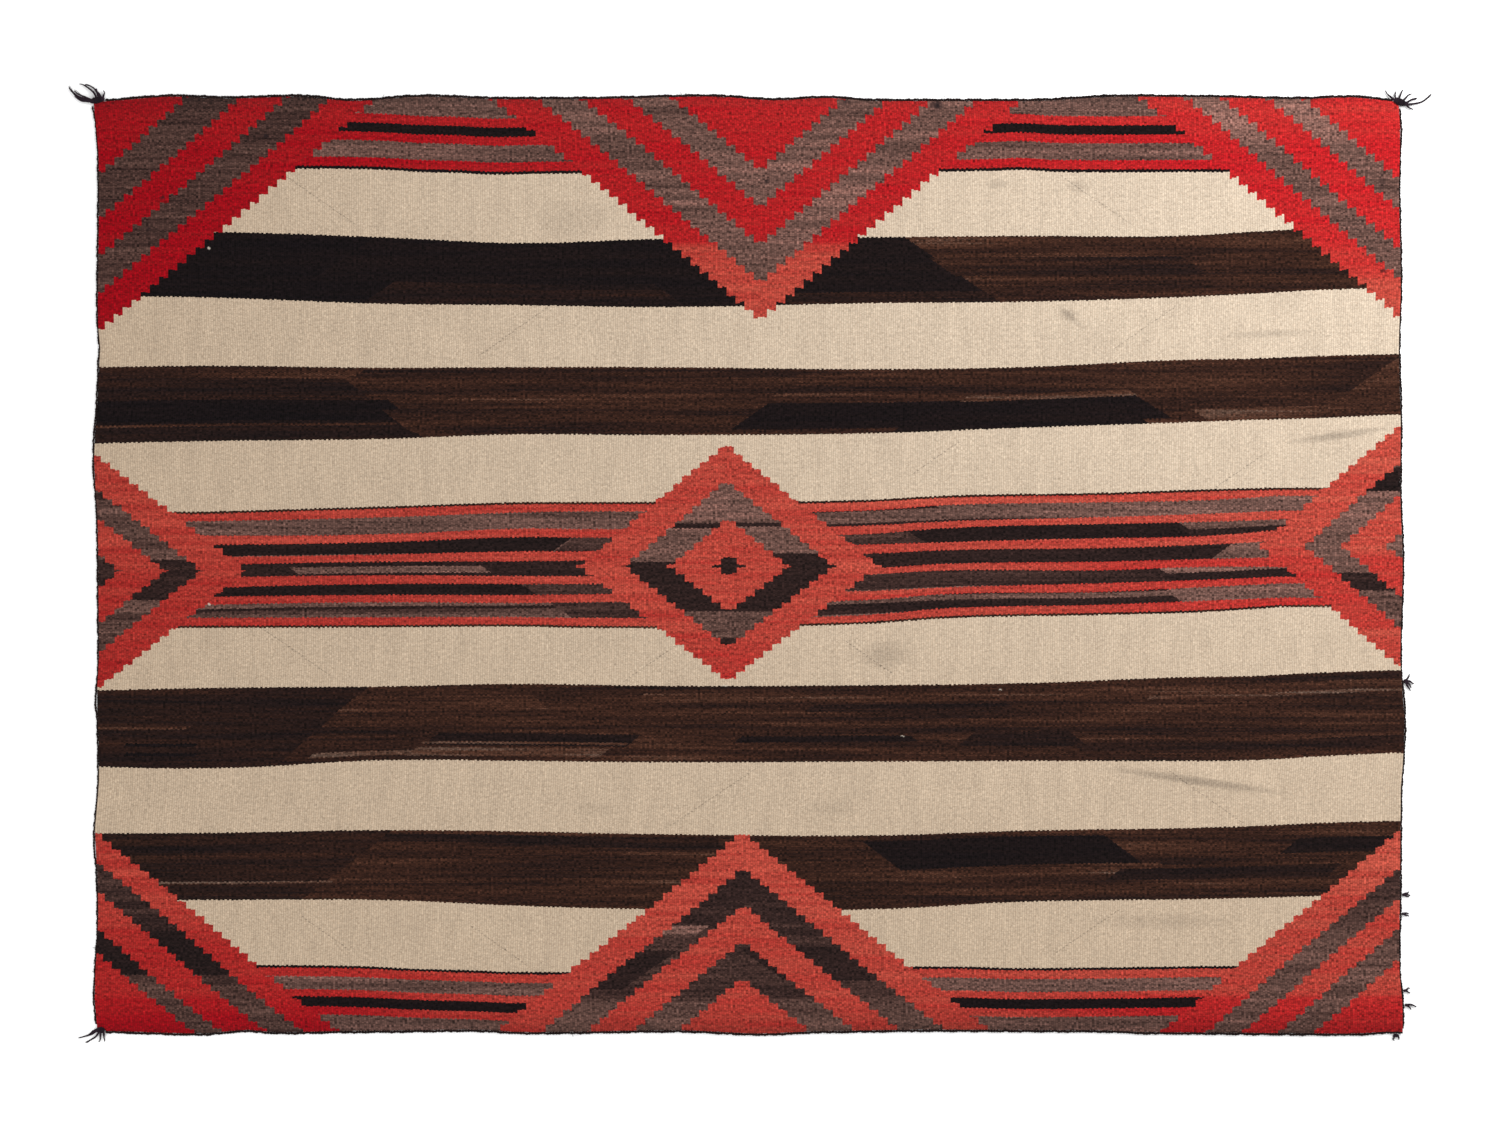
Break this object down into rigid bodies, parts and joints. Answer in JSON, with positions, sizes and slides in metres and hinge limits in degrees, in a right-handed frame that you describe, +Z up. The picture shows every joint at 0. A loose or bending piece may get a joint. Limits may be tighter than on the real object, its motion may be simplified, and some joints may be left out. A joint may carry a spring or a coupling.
{
  "type": "navajo rug",
  "caption": "Handwoven wool rug with stepped diamonds over broad cream and dark bands, lying flat, with corded edges and corner tassels.",
  "frame": {"origin": "on the floor under the middle of the whole rug's box, tassels included", "axes": "+X along the rug's length to the right with the face up, +Y up the warps towards the top edge, +Z up off the floor"},
  "size_m": [2.0848, 1.4684, 0.0075],
  "materials": {
    "woven_wool": "matte",
    "cord_wool": "matte",
    "tassel_wool": "matte"
  },
  "bodies": {
    "root": {"rug_cloth": "woven_wool", "end_cord_top": "cord_wool", "end_cord_bottom": "cord_wool", "side_cord_left": "cord_wool", "side_cord_right": "cord_wool", "tassel_top_left": "tassel_wool", "tassel_top_right": "tassel_wool", "tassel_bottom_left": "tassel_wool", "tassel_bottom_right": "tassel_wool", "frayed_end_right_1": "tassel_wool", "frayed_end_right_2": "tassel_wool", "frayed_end_right_3": "tassel_wool", "frayed_end_right_4": "tassel_wool", "frayed_end_right_5": "tassel_wool"}
  },
  "joints": []
}
